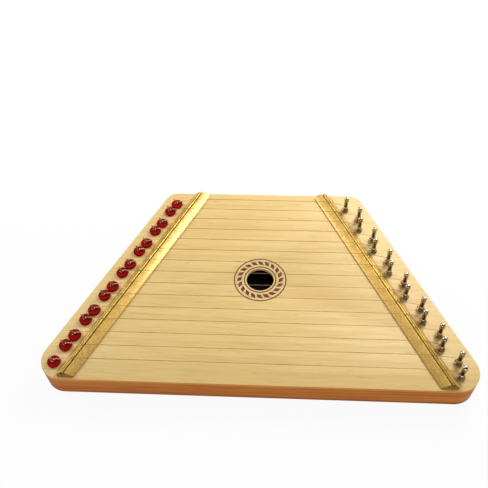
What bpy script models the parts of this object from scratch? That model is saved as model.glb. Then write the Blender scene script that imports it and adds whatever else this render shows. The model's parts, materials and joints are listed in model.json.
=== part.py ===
"""Lap harp: a shallow trapezoid box, strung with fifteen steel strings.

The long edge faces -Y and the strings run along X. Each string is looped on a hitch pin at the left,
crosses the brass rods of both bridges and is wound on a tuning pin at the right. The tuning pins turn
in the right-hand block. The origin is at the centre of the underside. Sizes are in metres.
"""

import math

import bmesh
import bpy
import numpy as np
from mathutils import Matrix, Vector

MM = 0.001

# Outline of the box, its edges measured to the corners before they are rounded
FRONT_EDGE = 478.0 * MM
BACK_EDGE = 238.4 * MM
BODY_DEPTH = 267.0 * MM
BODY_HEIGHT = 28.3 * MM
FRONT_CORNER_RADIUS = 24.0 * MM
BACK_CORNER_RADIUS = 15.0 * MM
CORNER_STEP = math.radians(14)

# Boards and frame of the box
SOUNDBOARD_THICKNESS = 3.5 * MM
BACK_BOARD_THICKNESS = 3.0 * MM
PIN_BLOCK_WIDTH = 44.0 * MM
RIB_THICKNESS = 12.0 * MM
BRACE_WIDTH = 8.0 * MM
BRACE_HEIGHT = 12.0 * MM
BRACE_FROM_MIDDLE = 60.0 * MM
GLUE_LINE = 0.2 * MM
SOUND_HOLE_RADIUS = 15.6 * MM
SOUND_HOLE_Y = -1.2 * MM
SOUND_HOLE_SIDES = 32

# Bridges, as seen square to the side edge that each one runs along
BRIDGE_RIDGE_HEIGHT = 5.0 * MM
BRIDGE_EDGE_HEIGHT = 1.2 * MM
BRIDGE_RIDGE_WIDTH = 5.0 * MM
BRIDGE_INNER_FOOT = 11.6 * MM
BRIDGE_OUTER_FOOT = 7.3 * MM
BRIDGE_GROOVE_RADIUS = 2.1 * MM
LEFT_ROD_INSET = 35.7 * MM
RIGHT_ROD_INSET = 38.5 * MM
ROD_SPLAY = 0.0065
BRIDGE_BACK_MARGIN = 1.5 * MM
BRIDGE_FRONT_MARGIN = 1.8 * MM
BRIDGE_FRONT_SLOPE = 0.5
BRIDGE_CORNER_RADIUS = 4.0 * MM
ROD_RADIUS = 1.2 * MM
ROD_STAND_OUT = 1.0 * MM
ROD_END_MARGIN = 0.5 * MM
ROD_SEAT_GAP = 0.3 * MM
GROOVE_STEPS = 6

# Strings
STRING_COUNT = 15
STRING_BACK_MARGIN = 14.2 * MM
STRING_FRONT_MARGIN = 22.15 * MM
STRING_DIAMETER = 0.5 * MM
STRING_SEAT_GAP = 0.3 * MM

# Hitch pins, in pairs from the back, each on its felt washer
HITCH_PIN_RADIUS = 1.0 * MM
HITCH_PIN_ABOVE = 12.8 * MM
HITCH_PIN_BELOW = 12.0 * MM
HITCH_PIN_LEAN = math.radians(14)
HITCH_PIN_SIDES = 8
HITCH_ROW_INSETS = (18.2 * MM, 17.0 * MM)
HITCH_BACK_MARGIN = 20.7 * MM
HITCH_FRONT_MARGIN = 18.6 * MM
HITCH_PAIR_SPACING = 12.6 * MM
HITCH_LOOP_RISE = 1.2 * MM
HITCH_LOOP_STEPS = 8
WASHER_RADIUS = 7.0 * MM
WASHER_THICKNESS = 3.0 * MM
WASHER_SIDES = 12

# Tuning pins, in two rows that take turns
TUNING_PIN_RADIUS = 2.5 * MM
TUNING_PIN_ABOVE = 22.3 * MM
TUNING_PIN_BELOW = 20.0 * MM
TUNING_HEAD_RADIUS = 2.85 * MM
TUNING_HEAD_LENGTH = 6.0 * MM
TUNING_SHANK_RADIUS = 2.45 * MM
TUNING_NECK_RADIUS = 1.9 * MM
TUNING_NECK_HEIGHT = 6.2 * MM
TUNING_NECK_LENGTH = 1.3 * MM
TUNING_EDGE = 0.7 * MM
TUNING_PIN_SIDES = 10
TUNING_BACK_MARGIN = 24.0 * MM
TUNING_FRONT_MARGIN = 15.5 * MM
TUNING_ROW_INSETS = (24.4 * MM, 17.4 * MM)
PIN_CLEARANCE = 0.15 * MM
BORE_END_ROOM = 0.4 * MM
BORE_MOUTH = 1.0 * MM

# String winding on a tuning pin
WINDING_TURNS = 2.75
WINDING_TOP = 4.3 * MM
WINDING_DROP = 0.92 * MM
WINDING_SPREAD = 0.36 * MM
WINDING_STEPS = 10
WINDING_GAP = 0.3 * MM

# Derived places
SIDE_SLOPE = (FRONT_EDGE - BACK_EDGE) / 2 / BODY_DEPTH
SIDE_ANGLE = math.atan(SIDE_SLOPE)
ROD_SLOPE = SIDE_SLOPE + ROD_SPLAY / math.cos(SIDE_ANGLE)
FRONT_Y = -BODY_DEPTH / 2
BACK_Y = BODY_DEPTH / 2
SOUNDBOARD_UNDERSIDE = BODY_HEIGHT - SOUNDBOARD_THICKNESS
FRAME_BOTTOM = BACK_BOARD_THICKNESS + GLUE_LINE
FRAME_TOP = SOUNDBOARD_UNDERSIDE - GLUE_LINE
BRIDGE_BOTTOM = BODY_HEIGHT + GLUE_LINE
BRIDGE_BACK_Y = BACK_Y - BRIDGE_BACK_MARGIN
BRIDGE_FRONT_Y = FRONT_Y + BRIDGE_FRONT_MARGIN
ROD_CENTRE_HEIGHT = BRIDGE_RIDGE_HEIGHT + ROD_STAND_OUT - ROD_RADIUS
ROD_BACK_Y = BRIDGE_BACK_Y - ROD_END_MARGIN
ROD_FRONT_Y = BRIDGE_FRONT_Y + BRIDGE_RIDGE_HEIGHT * BRIDGE_FRONT_SLOPE + ROD_END_MARGIN
ROD_Z = BRIDGE_BOTTOM + ROD_CENTRE_HEIGHT
STRING_Z = ROD_Z + ROD_RADIUS + STRING_SEAT_GAP + STRING_DIAMETER / 2
STRING_PITCH = (BODY_DEPTH - STRING_BACK_MARGIN - STRING_FRONT_MARGIN) / (STRING_COUNT - 1)
HITCH_PAIR_PITCH = (BODY_DEPTH - HITCH_BACK_MARGIN - HITCH_FRONT_MARGIN) / (STRING_COUNT // 2)
TUNING_PIN_PITCH = (BODY_DEPTH - TUNING_BACK_MARGIN - TUNING_FRONT_MARGIN) / (STRING_COUNT - 1)
WASHER_BOTTOM = BODY_HEIGHT + GLUE_LINE
HITCH_LOOP_Z = WASHER_BOTTOM + WASHER_THICKNESS + STRING_SEAT_GAP + STRING_DIAMETER / 2

WELD_DISTANCE = 0.01 * MM


def half_width(y):
    """Half the width of the unrounded outline at y."""
    return BACK_EDGE / 2 + SIDE_SLOPE * (BACK_Y - y)


def inside_edge(y, inset, side):
    """The point at y that lies inset from a side edge, square to it; side is -1 left or 1 right."""
    return Vector((side * (half_width(y) - inset / math.cos(SIDE_ANGLE)), y))


def rounded_corner(before, corner, after, radius):
    """The arc that rounds one corner of an outline that runs anticlockwise."""
    back = (before - corner).normalized()
    on = (after - corner).normalized()
    half_angle = back.angle(on) / 2
    centre = corner + (back + on).normalized() * radius / math.sin(half_angle)
    spoke = corner + back * radius / math.tan(half_angle) - centre
    sweep = math.pi - 2 * half_angle
    steps = max(2, round(sweep / CORNER_STEP))
    return [centre + Matrix.Rotation(sweep * step / steps, 2) @ spoke for step in range(steps + 1)]


def body_outline():
    """The rounded trapezoid of the box, anticlockwise from the front left corner."""
    corners = [
        (Vector((-half_width(FRONT_Y), FRONT_Y)), FRONT_CORNER_RADIUS),
        (Vector((half_width(FRONT_Y), FRONT_Y)), FRONT_CORNER_RADIUS),
        (Vector((half_width(BACK_Y), BACK_Y)), BACK_CORNER_RADIUS),
        (Vector((-half_width(BACK_Y), BACK_Y)), BACK_CORNER_RADIUS),
    ]
    outline = []
    for index, (corner, radius) in enumerate(corners):
        before = corners[index - 1][0]
        after = corners[(index + 1) % len(corners)][0]
        outline += rounded_corner(before, corner, after, radius)
    return outline


def clipped(outline, point, normal):
    """The part of a convex outline on the side of a line that the normal points to."""
    kept = []
    for start, end in zip(outline, outline[1:] + outline[:1]):
        start_side = (start - point).dot(normal)
        end_side = (end - point).dot(normal)
        if start_side >= 0:
            kept.append(start)
        if start_side * end_side < 0:
            kept.append(start.lerp(end, start_side / (start_side - end_side)))
    return kept


def side_normal(side):
    """The unit vector square to a side edge that points out of the box."""
    return Vector((side * math.cos(SIDE_ANGLE), math.sin(SIDE_ANGLE)))


def string_y(index):
    """Where a string crosses the bridges, counted from the short back edge."""
    return BACK_Y - STRING_BACK_MARGIN - STRING_PITCH * index


def hitch_place(index):
    """Where a hitch pin enters the soundboard."""
    pair, second = divmod(index, 2)
    y = BACK_Y - HITCH_BACK_MARGIN - HITCH_PAIR_PITCH * pair - HITCH_PAIR_SPACING * second
    return inside_edge(y, HITCH_ROW_INSETS[second], -1)


def tuning_place(index):
    """Where the axis of a tuning pin crosses the soundboard."""
    y = BACK_Y - TUNING_BACK_MARGIN - TUNING_PIN_PITCH * index
    return inside_edge(y, TUNING_ROW_INSETS[index % len(TUNING_ROW_INSETS)], 1)


def rod_place(y, side):
    """The middle of a bridge rod at y; towards the front the rods splay out a little."""
    inset = LEFT_ROD_INSET if side < 0 else RIGHT_ROD_INSET
    return inside_edge(y, inset + ROD_SPLAY * y, side)


def material(name, hex_colour, roughness, metallic=0.0):
    """A Principled material; the colour is an sRGB hex value."""
    made = bpy.data.materials.new(name)
    made.use_nodes = True
    shader = made.node_tree.nodes["Principled BSDF"]
    channels = [int(hex_colour[start:start + 2], 16) / 255 for start in (0, 2, 4)]
    linear = [c / 12.92 if c <= 0.04045 else ((c + 0.055) / 1.055) ** 2.4 for c in channels]
    shader.inputs["Base Color"].default_value = (*linear, 1.0)
    shader.inputs["Roughness"].default_value = roughness
    shader.inputs["Metallic"].default_value = metallic
    made.diffuse_color = (*linear, 1.0)
    return made


def placed(name, data, finish, collection, location=(0, 0, 0)):
    """An object of its own in a collection, with its own material."""
    made = bpy.data.objects.new(name, data)
    made.location = location
    if finish and not data.materials:
        data.materials.append(finish)
    collection.objects.link(made)
    return made


def solid_mesh(made):
    """The evaluated mesh of an object, welded closed; the object is removed."""
    bpy.context.view_layer.update()
    depsgraph = bpy.context.evaluated_depsgraph_get()
    mesh = bpy.data.meshes.new_from_object(made.evaluated_get(depsgraph))
    mesh.name = made.name
    mesh.transform(made.matrix_world)
    bpy.data.objects.remove(made)
    shape = bmesh.new()
    shape.from_mesh(mesh)
    bmesh.ops.remove_doubles(shape, verts=shape.verts, dist=WELD_DISTANCE)
    bmesh.ops.recalc_face_normals(shape, faces=shape.faces)
    shape.to_mesh(mesh)
    shape.free()
    return mesh


def flat_solid(name, outline, thickness):
    """A closed mesh: a flat outline with a thickness, centred on its XY plane."""
    curve = bpy.data.curves.new(name, "CURVE")
    curve.dimensions = "2D"
    curve.fill_mode = "BOTH"
    curve.extrude = thickness / 2
    spline = curve.splines.new("POLY")
    spline.points.add(len(outline) - 1)
    for point, place in zip(spline.points, outline):
        point.co = (place[0], place[1], 0, 1)
    spline.use_cyclic_u = True
    return solid_mesh(placed(name, curve, None, bpy.context.scene.collection))


def board(name, outline, bottom, top, finish, collection):
    """A flat wooden piece between two heights."""
    mesh = flat_solid(name, outline, top - bottom)
    return placed(name, mesh, finish, collection, (0, 0, (bottom + top) / 2))


def turn(made, steps):
    """Turn an object's profile round its Z axis with a Screw modifier."""
    screw = made.modifiers.new("turned", "SCREW")
    screw.axis = "Z"
    screw.angle = math.tau
    screw.steps = steps
    screw.render_steps = steps
    screw.use_merge_vertices = True
    screw.merge_threshold = WELD_DISTANCE
    screw.use_smooth_shade = True


def profile_mesh(name, profile, closed=False):
    """The edges of a turned shape, listed down its outer side."""
    edges = [(index, index + 1) for index in range(len(profile) - 1)]
    if closed:
        edges.append((len(profile) - 1, 0))
    mesh = bpy.data.meshes.new(name)
    mesh.from_pydata([(radius, 0, height) for radius, height in profile], edges, [])
    return mesh


def group(name, piece, matrices):
    """One mesh that holds a copy of a piece at each place, as separate solids."""
    shape = bmesh.new()
    for matrix in matrices:
        copy = piece.copy()
        copy.transform(matrix)
        shape.from_mesh(copy)
        bpy.data.meshes.remove(copy)
    mesh = bpy.data.meshes.new(name)
    shape.to_mesh(mesh)
    shape.free()
    return mesh


def guide(made):
    """Mark a solid that only shapes other pieces."""
    made.hide_render = True
    made.display_type = "WIRE"
    return made


def bore_cutter(name, matrices, radius, sides, bottom, top, collection):
    """Cutters for a row of round holes whose flats clear the radius."""
    shape = bmesh.new()
    for matrix in matrices:
        middle = Matrix.Translation((0, 0, (bottom + top) / 2))
        bmesh.ops.create_cone(
            shape,
            cap_ends=True,
            segments=sides,
            radius1=radius / math.cos(math.pi / sides),
            radius2=radius / math.cos(math.pi / sides),
            depth=top - bottom,
            matrix=matrix @ middle,
        )
    mesh = bpy.data.meshes.new(name)
    shape.to_mesh(mesh)
    shape.free()
    return guide(placed(name, mesh, None, collection))


def cut(made, cutter, operation="DIFFERENCE"):
    """Take a guide solid out of a piece, or join it on."""
    boolean = made.modifiers.new(cutter.name, "BOOLEAN")
    boolean.operation = operation
    boolean.solver = "EXACT"
    boolean.object = cutter


def tube(name, points, diameter, bevel_resolution, finish, collection):
    """A round wire or rod through the points, with closed ends."""
    curve = bpy.data.curves.new(name, "CURVE")
    curve.dimensions = "3D"
    curve.bevel_depth = diameter / 2
    curve.bevel_resolution = bevel_resolution
    curve.use_fill_caps = True
    spline = curve.splines.new("POLY")
    spline.points.add(len(points) - 1)
    for point, place in zip(spline.points, points):
        point.co = (*place, 1)
    return placed(name, curve, finish, collection)


def box_body(parts, cutters):
    """Soundboard, back board, ribs, pin blocks and braces."""
    outline = body_outline()
    pale_wood = material("pale_wood", "E6C384", 0.4)
    board("back_board", outline, 0, BACK_BOARD_THICKNESS, material("back_wood", "C79A5B", 0.5), parts)
    soundboard = board("soundboard", outline, SOUNDBOARD_UNDERSIDE, BODY_HEIGHT, pale_wood, parts)
    cut(soundboard, cutters["sound_hole"])
    cut(soundboard, cutters["hitch_bores"])
    cut(soundboard, cutters["tuning_bores"])

    blocks = {}
    for side, name in ((-1, "hitch_pin_block"), (1, "tuning_pin_block")):
        inner_line = inside_edge(0, PIN_BLOCK_WIDTH, side)
        block_outline = clipped(outline, inner_line, side_normal(side))
        finish = material(name + "_wood", "A9652F", 0.4)
        blocks[side] = board(name, block_outline, FRAME_BOTTOM, FRAME_TOP, finish, parts)
    cut(blocks[-1], cutters["hitch_pins"], "UNION")
    cut(blocks[1], cutters["tuning_bores"])

    between_blocks = outline
    for side in (-1, 1):
        rib_line = inside_edge(0, PIN_BLOCK_WIDTH + GLUE_LINE, side)
        between_blocks = clipped(between_blocks, rib_line, -side_normal(side))
    for facing, name in ((-1, "front_rib"), (1, "back_rib")):
        rib_line = Vector((0, facing * (BODY_DEPTH / 2 - RIB_THICKNESS)))
        rib_outline = clipped(between_blocks, rib_line, Vector((0, facing)))
        board(name, rib_outline, FRAME_BOTTOM, FRAME_TOP, material(name + "_wood", "A35A28", 0.35), parts)

    brace_length = BODY_DEPTH - 2 * (RIB_THICKNESS + GLUE_LINE)
    for side, name in ((-1, "left_brace"), (1, "right_brace")):
        middle = side * BRACE_FROM_MIDDLE
        corners = [(-1, -1), (1, -1), (1, 1), (-1, 1)]
        brace_outline = [(middle + x * BRACE_WIDTH / 2, y * brace_length / 2) for x, y in corners]
        finish = material(name + "_wood", "D9B98A", 0.6)
        board(name, brace_outline, FRAME_TOP - BRACE_HEIGHT, FRAME_TOP, finish, parts)


def bridge_section(side):
    """The outline of a bridge square to Y: a low roof with a round groove along its ridge."""
    groove_centre = ROD_CENTRE_HEIGHT - ROD_RADIUS - ROD_SEAT_GAP + BRIDGE_GROOVE_RADIUS
    start = math.asin((BRIDGE_RIDGE_HEIGHT - groove_centre) / BRIDGE_GROOVE_RADIUS)
    groove = []
    for step in range(GROOVE_STEPS + 1):
        angle = start - (math.pi + 2 * start) * step / GROOVE_STEPS
        across = BRIDGE_GROOVE_RADIUS * math.cos(angle)
        groove.append((across, groove_centre + BRIDGE_GROOVE_RADIUS * math.sin(angle)))
    half_ridge = BRIDGE_RIDGE_WIDTH / 2
    roof = [
        (-BRIDGE_OUTER_FOOT, 0),
        (BRIDGE_INNER_FOOT, 0),
        (BRIDGE_INNER_FOOT, BRIDGE_EDGE_HEIGHT),
        (half_ridge, BRIDGE_RIDGE_HEIGHT),
    ]
    roof += groove
    roof += [(-half_ridge, BRIDGE_RIDGE_HEIGHT), (-BRIDGE_OUTER_FOOT, BRIDGE_EDGE_HEIGHT)]
    return [(-side * across / math.cos(SIDE_ANGLE), height) for across, height in roof]


def sharp_corner_arcs(side):
    """The arcs that round a bridge's two sharp corners, seen from above: front outer and back inner."""
    outward = Vector((side * BRIDGE_OUTER_FOOT / math.cos(SIDE_ANGLE), 0))
    inward = Vector((-side * BRIDGE_INNER_FOOT / math.cos(SIDE_ANGLE), 0))
    front_outer = rod_place(BRIDGE_FRONT_Y, side) + outward
    front_inner = rod_place(BRIDGE_FRONT_Y, side) + inward
    back_outer = rod_place(BRIDGE_BACK_Y, side) + outward
    back_inner = rod_place(BRIDGE_BACK_Y, side) + inward
    arcs = []
    for corner in ((front_inner, front_outer, back_outer), (back_outer, back_inner, front_inner)):
        before, point, after = corner[::side]
        arcs.append(rounded_corner(before, point, after, BRIDGE_CORNER_RADIUS))
    return arcs


def cut_back(mesh, arc):
    """Cut a corner of a closed mesh back to upright planes along an arc, and close each cut."""
    shape = bmesh.new()
    shape.from_mesh(mesh)
    for start, end in zip(arc, arc[1:]):
        along = end - start
        found = bmesh.ops.bisect_plane(
            shape,
            geom=shape.verts[:] + shape.edges[:] + shape.faces[:],
            plane_co=(*start, 0),
            plane_no=(along.y, -along.x, 0),
            clear_outer=True,
        )
        rim = [item for item in found["geom_cut"] if isinstance(item, bmesh.types.BMEdge)]
        bmesh.ops.contextual_create(shape, geom=rim)
    bmesh.ops.recalc_face_normals(shape, faces=shape.faces)
    shape.to_mesh(mesh)
    shape.free()


def bridges(parts):
    """The two bridges, sloped at the front end, and the brass rod that each one carries."""
    for side, name in ((-1, "left_bridge"), (1, "right_bridge")):
        mesh = flat_solid(name, bridge_section(side), BRIDGE_BACK_Y - BRIDGE_FRONT_Y)
        for vertex in mesh.vertices:
            if vertex.co.z > 0:
                vertex.co.z -= vertex.co.y * BRIDGE_FRONT_SLOPE
        middle = rod_place((BRIDGE_BACK_Y + BRIDGE_FRONT_Y) / 2, side)
        along_edge = Matrix((
            (1, 0, side * ROD_SLOPE, middle.x),
            (0, 0, -1, middle.y),
            (0, 1, 0, BRIDGE_BOTTOM),
            (0, 0, 0, 1),
        ))
        mesh.transform(along_edge)
        for arc in sharp_corner_arcs(side):
            cut_back(mesh, arc)
        placed(name, mesh, material(name + "_gold_lacquer", "C9A24A", 0.35), parts)
        ends = [(*rod_place(y, side), ROD_Z) for y in (ROD_FRONT_Y, ROD_BACK_Y)]
        brass = material(name + "_brass", "C9A544", 0.25, 1.0)
        tube(name + "_rod", ends, 2 * ROD_RADIUS, 3, brass, parts)


def hitch_matrix(index):
    """The frame of a hitch pin: its origin on the soundboard, its Z along the leaning pin."""
    place = hitch_place(index)
    lean = Matrix.Rotation(-HITCH_PIN_LEAN, 4, "Y")
    return Matrix.Translation((*place, BODY_HEIGHT)) @ lean


def hitch_axis_at(index, z):
    """Where the leaning axis of a hitch pin is at a height."""
    drift = (z - BODY_HEIGHT) * math.tan(HITCH_PIN_LEAN)
    return hitch_place(index) - Vector((drift, 0))


def hitch_pin_group(collection):
    """The fifteen hitch pins, driven into their block, which they are one body with."""
    radius = HITCH_PIN_RADIUS
    profile = [
        (0, HITCH_PIN_ABOVE),
        (0.6 * radius, HITCH_PIN_ABOVE - 0.15 * radius),
        (radius, HITCH_PIN_ABOVE - 0.6 * radius),
        (radius, radius - HITCH_PIN_BELOW),
        (0, -HITCH_PIN_BELOW),
    ]
    turned = placed("hitch_pin", profile_mesh("hitch_pin", profile), None, bpy.context.scene.collection)
    turn(turned, HITCH_PIN_SIDES)
    matrices = [hitch_matrix(index) for index in range(STRING_COUNT)]
    pins = group("hitch_pins", solid_mesh(turned), matrices)
    steel = material("hitch_pin_steel", "8E8E88", 0.3, 1.0)
    return guide(placed("hitch_pins", pins, steel, collection))


def felt_washers(parts):
    """The felt washer under each string loop."""
    drift = WASHER_THICKNESS / 2 * math.tan(HITCH_PIN_LEAN)
    hole = HITCH_PIN_RADIUS / math.cos(HITCH_PIN_LEAN) + drift + PIN_CLEARANCE
    section = [
        (hole, WASHER_THICKNESS),
        (WASHER_RADIUS, WASHER_THICKNESS),
        (WASHER_RADIUS, 0),
        (hole, 0),
    ]
    mesh = profile_mesh("felt_washer", section, True)
    mesh.materials.append(material("red_felt", "B00C12", 0.95))
    for index in range(STRING_COUNT):
        centre = hitch_axis_at(index, WASHER_BOTTOM + WASHER_THICKNESS / 2)
        washer = placed(f"felt_washer_{index + 1:02d}", mesh, None, parts, (*centre, WASHER_BOTTOM))
        turn(washer, WASHER_SIDES)


def tuning_pin_profile():
    """A tuning pin from its domed head down to its end in the block."""
    head = TUNING_HEAD_RADIUS
    top = TUNING_PIN_ABOVE
    neck_top = TUNING_NECK_HEIGHT + TUNING_NECK_LENGTH
    return [
        (0, top),
        (0.6 * head, top - 0.2 * head),
        (head, top - 0.8 * head),
        (head, top - TUNING_HEAD_LENGTH + TUNING_EDGE),
        (TUNING_SHANK_RADIUS, top - TUNING_HEAD_LENGTH),
        (TUNING_SHANK_RADIUS, neck_top + TUNING_EDGE),
        (TUNING_NECK_RADIUS, neck_top),
        (TUNING_NECK_RADIUS, TUNING_NECK_HEIGHT),
        (TUNING_PIN_RADIUS, TUNING_NECK_HEIGHT - TUNING_EDGE),
        (TUNING_PIN_RADIUS, TUNING_EDGE - TUNING_PIN_BELOW),
        (TUNING_PIN_RADIUS - TUNING_EDGE, -TUNING_PIN_BELOW),
        (0, -TUNING_PIN_BELOW),
    ]


def tuning_pins(parts):
    """The fifteen tuning pins, each with its origin on the axis that it turns about."""
    mesh = profile_mesh("tuning_pin", tuning_pin_profile())
    mesh.materials.append(material("tuning_pin_nickel", "A9A6A0", 0.2, 1.0))
    for index in range(STRING_COUNT):
        place = (*tuning_place(index), BODY_HEIGHT)
        pin = placed(f"tuning_pin_{index + 1:02d}", mesh, None, parts, place)
        turn(pin, TUNING_PIN_SIDES)


def tangent_point(centre, radius, outside, side):
    """Where the line from an outside point touches a circle; side is 1 left or -1 right of the way in."""
    way = centre - outside
    turn_by = side * (math.pi / 2 + math.asin(radius / way.length))
    return centre + Matrix.Rotation(turn_by, 2) @ way.normalized() * radius


def winding(index):
    """The points where a string winds down its tuning pin, clockwise seen from above."""
    centre = tuning_place(index)
    radius = TUNING_PIN_RADIUS + WINDING_GAP + STRING_DIAMETER / 2
    last_contact = rod_place(string_y(index), 1)
    start = tangent_point(centre, radius, last_contact, 1) - centre
    start_angle = math.atan2(start.y, start.x)
    points = []
    for step in range(round(WINDING_TURNS * WINDING_STEPS) + 1):
        turns = step / WINDING_STEPS
        angle = start_angle - math.tau * turns
        out = radius + WINDING_SPREAD * turns
        height = BODY_HEIGHT + WINDING_TOP - WINDING_DROP * turns
        points.append((centre.x + out * math.cos(angle), centre.y + out * math.sin(angle), height))
    return points


def hitch_loop(index):
    """The points where a string goes once round its hitch pin, from its free end to its way out."""
    radius = HITCH_PIN_RADIUS + STRING_SEAT_GAP + STRING_DIAMETER / 2
    first_contact = rod_place(string_y(index), -1)
    centre = hitch_axis_at(index, HITCH_LOOP_Z)
    leave = tangent_point(centre, radius, first_contact, -1) - centre
    leave_angle = math.atan2(leave.y, leave.x)
    points = []
    for step in range(HITCH_LOOP_STEPS, -1, -1):
        turns = step / HITCH_LOOP_STEPS
        height = HITCH_LOOP_Z + HITCH_LOOP_RISE * turns
        pin = hitch_axis_at(index, height)
        angle = leave_angle + math.tau * turns
        points.append((pin.x + radius * math.cos(angle), pin.y + radius * math.sin(angle), height))
    return points


def run_on(points):
    """The points with each end carried straight on for one string diameter."""
    first = Vector(points[0]) + (Vector(points[0]) - Vector(points[1])).normalized() * STRING_DIAMETER
    last = Vector(points[-1]) + (Vector(points[-1]) - Vector(points[-2])).normalized() * STRING_DIAMETER
    return [tuple(first), *points, tuple(last)]


def least_gap(points):
    """The least clear space between stretches of a string that are over half a loop apart."""
    sample_step = STRING_DIAMETER / 4
    samples = []
    along = []
    travelled = 0.0
    for start, end in zip(points, points[1:]):
        start = np.array(start)
        end = np.array(end)
        length = float(np.linalg.norm(end - start))
        count = min(40, max(1, round(length / sample_step)))
        for part in range(count):
            samples.append(start + (end - start) * part / count)
            along.append(travelled + length * part / count)
        travelled += length
    samples = np.array(samples)
    along = np.array(along)
    half_loop = math.pi * (HITCH_PIN_RADIUS + STRING_SEAT_GAP + STRING_DIAMETER / 2)
    distances = np.linalg.norm(samples[:, None] - samples[None, :], axis=2)
    apart = np.abs(along[:, None] - along[None, :]) > half_loop
    return float(distances[apart].min()) - STRING_DIAMETER


def strings(parts):
    """The fifteen strings, each one unbroken wire from its hitch loop to its winding."""
    steel = "8C8272"
    gaps = []
    for index in range(STRING_COUNT):
        y = string_y(index)
        contacts = [(*rod_place(y, side), STRING_Z) for side in (-1, 1)]
        route = run_on(hitch_loop(index) + contacts + winding(index))
        gaps.append(least_gap(route))
        name = f"string_{index + 1:02d}"
        tube(name, route, STRING_DIAMETER, 1, material(name + "_steel", steel, 0.35, 1.0), parts)
    print(f"least gap of a string to itself: {min(gaps) / MM:.2f} mm")


def make_cutters(collection):
    """The holes that pass from the soundboard into the pin blocks, and the sound hole."""
    above = GLUE_LINE
    below = -SOUNDBOARD_THICKNESS - GLUE_LINE
    hole_place = Matrix.Translation((0, SOUND_HOLE_Y, BODY_HEIGHT))
    hitch_matrices = [hitch_matrix(index) for index in range(STRING_COUNT)]
    tuning_matrices = []
    for index in range(STRING_COUNT):
        tuning_matrices.append(Matrix.Translation((*tuning_place(index), BODY_HEIGHT)))
    hitch_bore = HITCH_PIN_RADIUS + PIN_CLEARANCE
    tuning_bore = TUNING_PIN_RADIUS + PIN_CLEARANCE
    hitch_end = below - SOUNDBOARD_THICKNESS
    tuning_end = -TUNING_PIN_BELOW - BORE_END_ROOM
    return {
        "sound_hole": bore_cutter(
            "sound_hole", [hole_place], SOUND_HOLE_RADIUS, SOUND_HOLE_SIDES, below, above, collection),
        "hitch_bores": bore_cutter(
            "hitch_bores", hitch_matrices, hitch_bore, HITCH_PIN_SIDES, hitch_end, BORE_MOUTH, collection),
        "tuning_bores": bore_cutter(
            "tuning_bores", tuning_matrices, tuning_bore, TUNING_PIN_SIDES, tuning_end, BORE_MOUTH, collection),
        "hitch_pins": hitch_pin_group(collection),
    }


def main():
    """Clear the scene and build the harp."""
    for old in list(bpy.data.objects):
        bpy.data.objects.remove(old)
    parts = bpy.data.collections.new("lap_harp")
    cutter_collection = bpy.data.collections.new("lap_harp_cutters")
    bpy.context.scene.collection.children.link(parts)
    bpy.context.scene.collection.children.link(cutter_collection)
    cutters = make_cutters(cutter_collection)
    box_body(parts, cutters)
    bridges(parts)
    felt_washers(parts)
    tuning_pins(parts)
    strings(parts)


main()
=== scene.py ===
"""Lap harp: the finish of every surface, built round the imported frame.

Sizes in the property groups are millimetres, and the geometry is metres. The long edge of the box
faces -Y, the hitch pins are at -X and the tuning pins at +X.
"""

import json
import math

import bmesh
import bpy
from bpy.props import FloatProperty, FloatVectorProperty, IntProperty, PointerProperty
from mathutils import Matrix, Vector, noise


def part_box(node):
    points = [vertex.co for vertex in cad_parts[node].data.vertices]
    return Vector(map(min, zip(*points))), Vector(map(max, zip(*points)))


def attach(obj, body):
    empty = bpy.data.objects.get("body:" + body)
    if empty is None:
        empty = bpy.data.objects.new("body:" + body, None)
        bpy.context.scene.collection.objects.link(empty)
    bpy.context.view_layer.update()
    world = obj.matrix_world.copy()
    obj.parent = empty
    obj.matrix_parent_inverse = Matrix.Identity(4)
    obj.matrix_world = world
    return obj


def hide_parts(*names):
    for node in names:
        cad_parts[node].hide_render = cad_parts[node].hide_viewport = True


bl_info = {
    "name": "Lap harp",
    "version": (1, 0, 0),
    "blender": (4, 5, 0),
    "location": "View3D > Sidebar > Harp",
    "description": "Dresses a fifteen-string lap harp with wood, felt, brass, nickel and steel",
    "category": "Object",
}

MM = 0.001
BODY = "harp_body"
STRINGS = 15

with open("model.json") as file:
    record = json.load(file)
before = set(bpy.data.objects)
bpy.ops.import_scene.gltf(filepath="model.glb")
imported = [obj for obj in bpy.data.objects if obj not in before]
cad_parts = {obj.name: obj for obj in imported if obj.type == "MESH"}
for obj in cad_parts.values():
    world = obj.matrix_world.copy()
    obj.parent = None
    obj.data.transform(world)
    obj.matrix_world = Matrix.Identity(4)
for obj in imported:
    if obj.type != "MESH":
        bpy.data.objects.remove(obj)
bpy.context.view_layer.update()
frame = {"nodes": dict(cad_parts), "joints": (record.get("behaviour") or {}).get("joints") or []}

BOARD_LOW, BOARD_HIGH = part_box("soundboard")
TOP = BOARD_HIGH.z
FRONT_Y = BOARD_LOW.y
BACK_Y = BOARD_HIGH.y
BODY_DEPTH = BACK_Y - FRONT_Y

# Outline of the box, its edges measured to the corners before they are rounded
FRONT_EDGE = 478.0 * MM
BACK_EDGE = 238.4 * MM
FRONT_CORNER_RADIUS = 24.0 * MM
BACK_CORNER_RADIUS = 15.0 * MM
PIN_BLOCK_WIDTH = 44.0 * MM
RIB_THICKNESS = 12.0 * MM
WALL_OVERLAP = 0.1 * MM
RIB_JOINT_GAP = 0.06 * MM
SIDE_SLOPE = (FRONT_EDGE - BACK_EDGE) / 2 / BODY_DEPTH
SIDE_ANGLE = math.atan(SIDE_SLOPE)
FINE_STEP = math.radians(3)

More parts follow.
